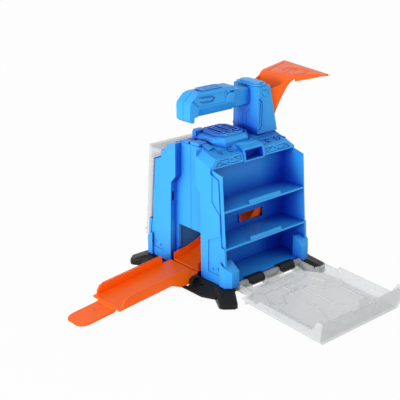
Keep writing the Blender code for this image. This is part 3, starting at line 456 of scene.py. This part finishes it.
# Roof cover: rims round its three slots, lines on its two steps, a rounded lobe at its far corner
# and low blocks before it. A line is given by its width and rise.
hatchValues = {
    "slots": (-14.6, -6.7, 1.0), "slotHalf": 7.4, "slotRadius": 2.3, "slotLine": (1.3, 0.9),
    "crown": 119.8, "crownLine": (0.9, 0.45),
    "crownEdge": [(-19.0, -9.2), (-15.2, -12.6), (1.8, -12.6), (5.6, -9.2), (5.6, 9.2),
                  (1.8, 12.6), (-15.2, 12.6), (-19.0, 9.2)],
    "step": 118.2, "stepLine": (0.8, 0.4),
    "stepEdge": [(-24.0, -10.6), (-18.6, -15.2), (4.2, -15.2), (9.0, -10.6), (9.0, 10.6),
                 (4.2, 15.2), (-18.6, 15.2), (-24.0, 10.6)],
    "blocks": [  # level, outline, then rise, foot and slope
        (117.2, [(-27.6, 8.4), (-27.6, 12.6), (-24.4, 15.6), (-18.0, 15.6), (-16.4, 13.6),
                 (-16.4, 10.0), (-21.0, 8.4)], (3.4, -3.4, 1.1)),
        (113.4, [(-39.4, -8.2), (-39.4, 1.2), (-30.8, 1.2), (-30.8, -8.2)], (2.7, -1.0, 0.7)),
        (116.0, [(-37.6, -6.4), (-37.6, -0.6), (-32.4, -0.6), (-32.4, -6.4)], (0.5, -0.2, 0.3)),
        (113.4, [(-39.4, 3.6), (-39.4, 9.4), (-30.8, 9.4), (-30.8, 3.6)], (1.4, -1.0, 0.5)),
    ],
}


def makeHatchDetails(values):
    relief = Relief("hatch_relief", "housing", "body_blue")
    crown, half = onTop(values["crown"]), values["slotHalf"]
    for x in values["slots"]:
        slot = stadium(x, -half, x, half, values["slotRadius"])
        relief.rib(crown, slot, *values["slotLine"], True)
    relief.rib(crown, values["crownEdge"], *values["crownLine"], True)
    relief.rib(onTop(values["step"]), values["stepEdge"], *values["stepLine"], True)
    relief.done()
    lobe = Relief("hatch_lobe", "housing", "body_blue")
    for level, outline, profile in values["blocks"]:
        lobe.plate(onTop(level), outline, *profile)
    lobe.done()


makeHatchDetails(hatchValues)


# Roof slopes: star-shaped pits, plate edges, a bright step at the ramp end, the block behind the
# latch with a low disc, and fillings of the truss fields that leave thin grooves
slopeValues = {
    "pits": ((-28.4, 21.4), (-18.4, 21.4), (22.3, 21.8), (32.4, 21.8)),
    "pitSize": 1.7, "pitLine": (0.7, 0.45),
    "step": [(-36.4, 8.6), (-36.4, 16.6), (-29.6, 14.8), (-30.4, 8.6)],
    "stepForm": (0.9, -0.9, 0.3),  # of a plate: rise, foot and slope
    "rightPlate": [(12.4, 27.0), (12.4, 19.2), (37.6, 19.2), (40.4, 24.6)],
    "rightLine": (0.9, 0.7),
    "leftPlate": [(-12.4, 27.0), (-32.0, 27.0), (-37.6, 19.6)], "leftLine": (0.8, 0.49),
    "blockFoot": [(-18.0, 12.6, 112.2), (-12.2, 26.6, 107.6), (11.4, 26.6, 107.6),
                  (14.6, 12.6, 112.2)],
    "blockTop": [(-10.4, 13.0, 113.7), (-5.4, 22.8, 112.9), (8.6, 22.8, 112.9),
                 (9.4, 13.0, 113.5)],
    "disc": (6.0, 19.0), "discRadius": 1.8, "discForm": (0.3, -1.0),
    "fields": [[(13.9, 103.0), (13.9, 106.0), (19.4, 106.0)],
               [(15.4, 102.8), (21.2, 105.7), (27.6, 102.8)],
               [(22.8, 106.0), (33.4, 106.0), (35.0, 105.2), (30.0, 103.0)],
               [(31.8, 102.8), (37.0, 104.6), (39.6, 102.8)]],
    "fieldForm": (-0.1, -0.7, 0.12),  # the top stays under the band's face
}


def onBlock(side):
    def place(x, t, lift):
        return point(x, side * t, 113.0 + (22.8 - t) * 0.06 + lift)
    return place


def makeSlopeDetails(values):
    size = values["pitSize"]
    for side, name in ((-1, "front"), (1, "rear")):
        relief = Relief(f"roof_relief_{name}", "housing", "body_blue")
        slope = onSlope(side)
        for x, t in values["pits"]:
            relief.rib(slope, [(x - size, t), (x, t - size), (x + size, t), (x, t + size)],
                       *values["pitLine"], True)
        relief.plate(slope, values["step"], *values["stepForm"])
        relief.rib(slope, values["rightPlate"], *values["rightLine"])
        relief.rib(slope, values["leftPlate"], *values["leftLine"])
        relief.block(side, values["blockFoot"], values["blockTop"])
        relief.button(onBlock(side), *values["disc"], values["discRadius"], *values["discForm"])
        for hand in (-1, 1):
            for field in values["fields"]:
                relief.plate(onBand(side), mirrored(field, hand), *values["fieldForm"])
        relief.done()


makeSlopeDetails(slopeValues)
print("roof detailed")


# Tower and handle: frame lines and a plain shield on the tower, fold lines, an open oval, a line
# and a low plate on the arm, and a loop on its pad
towerValues = {
    "face": 14.2, "arm": 8.0, "left": 16.9, "pad": 156.3,  # where the surfaces lie
    "line": (0.55, 0.3),
    "frames": [([(20.0, 142.6), (23.2, 139.6), (23.2, 120.4), (20.0, 117.6)], (0.9, 0.8)),
               ([(18.2, 142.0), (21.4, 139.0), (21.4, 121.0), (18.2, 118.2)], (0.9, 0.6))],
    "shield": [(22.2, 148.8), (29.4, 148.4), (28.8, 145.4), (26.6, 143.6), (24.0, 144.4),
               (22.4, 146.6)],
    "shieldForm": (0.5, buried, 0.25),
    "folds": [[(-39.2, 144.6), (-43.6, 148.4), (-43.6, 149.8), (-40.2, 152.6), (-36.0, 152.8),
               (-13.8, 152.4)],
              [(-13.8, 152.4), (-11.6, 150.6), (-11.6, 147.2), (-8.6, 144.2)]],
    "oval": [(-35.8, 150.6), (-26.0, 150.2), (-23.6, 149.2), (-23.6, 147.4), (-26.2, 146.4),
             (-35.8, 146.6)],
    "ovalLine": (0.55, 0.36),
    "lowerLine": [(-37.2, 144.2), (-12.0, 144.2)], "lowerForm": (0.6, 0.3),
    "neckPlate": [(-11.0, 143.4), (-5.6, 143.4), (-1.6, 145.8), (-1.6, 151.0), (-8.2, 151.0),
                  (-10.6, 148.2)],
    "neckForm": (0.35, buried, 0.2),
    "leftLine": [(6.2, 133.2), (2.2, 130.4), (2.2, 116.2)],
    "padLoop": [(-30.0, -2.6), (-13.4, -2.6), (-12.2, -1.4), (-12.2, 1.4), (-13.4, 2.6),
                (-30.0, 2.6)],
    "padLine": (0.6, 0.3),
}


def makeTowerDetails(values):
    for side, name in ((-1, "front"), (1, "rear")):
        relief = Relief(f"tower_relief_{name}", "housing", "body_blue")
        face = onFace(side, values["face"])
        for path, line in values["frames"]:
            relief.rib(face, path, *line)
        relief.plate(face, values["shield"], *values["shieldForm"])
        relief.done()
        grip = Relief(f"grip_relief_{name}", "housing", "body_blue")
        arm = onFace(side, values["arm"])
        for path in values["folds"]:
            grip.rib(arm, path, *values["line"])
        grip.rib(arm, values["oval"], *values["ovalLine"])
        grip.rib(arm, values["lowerLine"], *values["lowerForm"])
        grip.plate(arm, values["neckPlate"], *values["neckForm"])
        grip.done()

    def leftFace(t, h, lift):
        return point(values["left"] - lift, t, h)

    left = Relief("tower_relief_left", "housing", "body_blue")
    for hand in (-1, 1):
        left.rib(leftFace, mirrored(values["leftLine"], hand), *values["line"])
    left.rib(onTop(values["pad"]), values["padLoop"], *values["padLine"])
    left.done()


makeTowerDetails(towerValues)
print("tower detailed")


# Chute: raised lines on the mouth plate, which rises a little towards its end
chuteValues = {
    "plate": (156.0, 0.045, 57.0), "line": (0.8, 0.35),
    "ring": [(60.0, -1.0), (65.0, 6.0), (74.0, 6.4), (77.6, -2.4), (75.6, -14.2), (67.6, -16.6),
             (60.0, -13.0)],
    "lines": [[(63.4, -3.6), (67.4, 0.8), (72.6, 0.6), (73.4, -4.8)],
              [(58.6, 14.6), (80.0, 20.6), (85.6, 22.4)],
              [(57.6, -16.2), (66.0, -21.8), (74.6, -27.4)]],
}


def makeChuteDetails(values):
    relief = Relief("chute_relief", "housing", "orange")
    plate = onTop(*values["plate"])
    relief.rib(plate, values["ring"], *values["line"], True)
    for path in values["lines"]:
        relief.rib(plate, path, *values["line"])
    relief.done()


makeChuteDetails(chuteValues)
print("chute detailed")


# Ramp: a line across the floor's end, rails along the floor, marks on the tongue and the walls
rampValues = {
    "line": (0.7, 0.3), "floorEnd": [(70.0, -13.0), (70.0, 13.0)],
    "rails": (8.0, 66.0), "railOut": 13.6, "railLine": (0.7, 0.18),
    "tongue": ((-126.0, 4.3), (-150.0, 1.75)),
    "tongueMarks": [[(8.0, -2.6), (12.0, 0.0), (8.0, 2.6)], [(3.0, 0.0), (11.4, 0.0)]],
    "wallOut": 16.7,
    "wallMarks": [[(58.6, 5.6), (63.4, 5.6), (63.4, 2.4)],
                  [(54.8, 1.4), (54.8, 3.0), (57.4, 3.0)],
                  [(4.6, 6.9), (60.6, 6.9), (64.8, 5.6), (67.4, 2.6), (68.0, -0.8)]],
}


def makeRampDetails(values):
    relief = Relief("ramp_relief", "ramp", "orange")
    relief.rib(onRamp, values["floorEnd"], *values["line"])
    for y in (-values["railOut"], values["railOut"]):
        relief.rib(onRamp, [(u, y) for u in values["rails"]], *values["railLine"])

    start, end = (Vector((x, 0.0, h - tableDrop)) for x, h in values["tongue"])
    along = (end - start).normalized()
    up = Vector((along.z, 0.0, -along.x))

    def onTongue(u, y, lift):
        return (start + along * u + Vector((0.0, y, 0.0)) + up * lift) * mm

    for path in values["tongueMarks"]:
        relief.rib(onTongue, path, *values["line"])
    for side in (-1, 1):
        def onSideWall(u, v, lift, side=side):
            return onRamp(u, side * (values["wallOut"] + lift), v)
        for path in values["wallMarks"]:
            relief.rib(onSideWall, path, *values["line"])
    relief.done()


makeRampDetails(rampValues)
print("ramp detailed")


# Doors: raised lines of the panel, a slot by the hinge and a square. Lines come in mirrored pairs.
doorValues = {
    "line": (1.0, 0.55), "ringLine": (0.9, 0.55),
    "doors": ((-1, 97.55, "front_door"), (1, 0.0, "rear_door")),  # side, degrees open, node
    "slot": (-17.5, 9.4, 17.5, 9.4, 1.5),
    "square": [(-3.8, 20.0), (3.8, 20.0), (3.8, 26.0), (-3.8, 26.0)],
    "lines": [
        [(-31.8, 3.4), (-25.0, 17.6), (0.0, 17.6)],
        [(-25.0, 19.6), (-30.6, 32.4), (-22.0, 40.0), (-14.0, 28.6), (0.0, 28.6)],
        [(-30.6, 32.4), (-40.4, 37.6), (-36.6, 47.6), (-36.6, 77.0), (-29.6, 85.4),
         (-24.6, 91.0)],
        [(-36.6, 47.6), (-32.6, 43.8), (-32.6, 76.0), (-26.4, 83.6), (-21.6, 90.6)],
        [(-7.2, 29.4), (-7.2, 63.0), (-13.8, 72.0), (-13.8, 80.8), (-11.6, 90.4)],
    ],
}


def makeDoorDetails(values):
    for side, opened, name in values["doors"]:
        relief = Relief(f"{name}_relief", name, "clear", "ridge")
        panel = onDoor(side, opened)
        for path in values["lines"]:
            relief.rib(panel, path, *values["line"])
            relief.rib(panel, mirrored(path), *values["line"])
        relief.rib(panel, stadium(*values["slot"]), *values["ringLine"], True)
        relief.rib(panel, values["square"], *values["ringLine"], True)
        relief.done()


makeDoorDetails(doorValues)
print("doors detailed")


# End walls: frames, panels and louvres under the chute, and moulding dots at the ramp
wallValues = {
    "frame": [(6.0, 22.0), (27.0, 22.0), (36.6, 31.0), (34.4, 66.0), (28.0, 73.0), (27.2, 90.0),
              (20.0, 96.0), (6.0, 96.0)],
    "frameLine": (1.1, 0.55),
    "panel": [(9.4, 26.0), (25.6, 26.0), (32.8, 33.0), (31.2, 62.0), (24.6, 69.0), (9.4, 69.0)],
    "panelForm": (0.55, buried, 0.4),
    "louvres": (75.0, 79.0, 83.0, 87.0), "louvreEnds": (9.4, 23.4), "louvreLine": (1.5, 0.77),
    "dots": ((37.9, 23.3), (-32.1, 21.5), (-37.9, 23.3), (32.1, 21.5)), "dotForm": (0.7, 0.25),
}


def makeWallDetails(values):
    relief = Relief("wall_relief", "housing", "body_blue")
    for hand in (-1, 1):
        relief.rib(onChuteEnd, mirrored(values["frame"], hand), *values["frameLine"], True)
        relief.plate(onChuteEnd, mirrored(values["panel"], hand), *values["panelForm"])
        for h in values["louvres"]:
            relief.rib(onChuteEnd, [(hand * t, h) for t in values["louvreEnds"]],
                       *values["louvreLine"])
    for t, h in values["dots"]:
        relief.button(onRampEnd, t, h, *values["dotForm"])
    relief.done()


makeWallDetails(wallValues)
print("walls detailed")


# Floor, lamps and world. A lamp's level is how many times the written colour it alone would show
# on a surface that faces it. The world is brighter at the horizon than overhead.
studio = {
    "floor": (0.80, 0.80, 0.80), "floorReach": 6.0, "floorRoughness": 0.8, "floorShine": 0.1,
    "floorWhite": 0.95,  # the rest of the floor's look is its shading, which keeps the shadow
    "aim": (-0.02, 0.0, 0.06),
    "lamps": {
        "key": {"place": (-1.28, -0.20, 0.24), "size": (0.45, 0.30), "level": 0.66},
        "fill": {"place": (-0.55, -1.05, 0.40), "size": (0.9, 0.6), "level": 0.10},
    },
    "horizon": 1.18, "zenith": 0.80, "heights": (0.05, 0.75),
}


def makeFloor(values):
    reach, level = values["floorReach"], -tableDrop * mm
    mesh = bpy.data.meshes.new("floor")
    mesh.from_pydata([(-reach, -reach, level), (reach, -reach, level), (reach, reach, level),
                      (-reach, reach, level)], [], [(0, 1, 2, 3)])
    floor = bpy.data.objects.new("floor", mesh)
    bpy.context.scene.collection.objects.link(floor)
    look = Look("floor")
    matt = look.node("ShaderNodeBsdfPrincipled", {}, {
        "Base Color": values["floor"], "Roughness": values["floorRoughness"],
        "Specular IOR Level": values["floorShine"]})
    glow = look.node("ShaderNodeEmission", {}, {"Color": (1.0, 1.0, 1.0), "Strength": 1.0})
    mesh.materials.append(look.finish(look.node("ShaderNodeMixShader", {}, {
        0: look.seesWhite() * values["floorWhite"], 1: matt, 2: glow})))


def makeLamps(values):
    aim = Vector(values["aim"])
    for label, lamp in values["lamps"].items():
        place = Vector(lamp["place"])
        data = bpy.data.lights.new(label, "AREA")
        data.shape = "RECTANGLE"
        data.size, data.size_y = lamp["size"]
        data.energy = lamp["level"] * pi * pi * (place - aim).length_squared
        thing = bpy.data.objects.new(label, data)
        bpy.context.scene.collection.objects.link(thing)
        thing.location = place
        thing.rotation_euler = (aim - place).to_track_quat("-Z", "Y").to_euler()


def makeWorld(values):
    world = bpy.data.worlds.new("world")
    bpy.context.scene.world = world
    look = Look("sky", world)
    place = look.node("ShaderNodeTexCoord", output="Generated")
    height = look.node("ShaderNodeSeparateXYZ", {}, {0: place}, output="Z")
    low, high = values["heights"]
    level = look.node("ShaderNodeMapRange", {}, {
        "Value": height, "From Min": low, "From Max": high, "To Min": values["horizon"],
        "To Max": values["zenith"]})
    light = look.node("ShaderNodeBackground", {}, {"Strength": level})
    white = look.node("ShaderNodeBackground", {}, {"Color": (1.0, 1.0, 1.0)})
    look.finish(look.node("ShaderNodeMixShader", {}, {0: look.seesWhite(), 1: light, 2: white}))


makeFloor(studio)
makeLamps(studio)
makeWorld(studio)
bpy.context.scene.view_settings.view_transform = "Standard"
print("studio made")

bpy.context.view_layer.update()
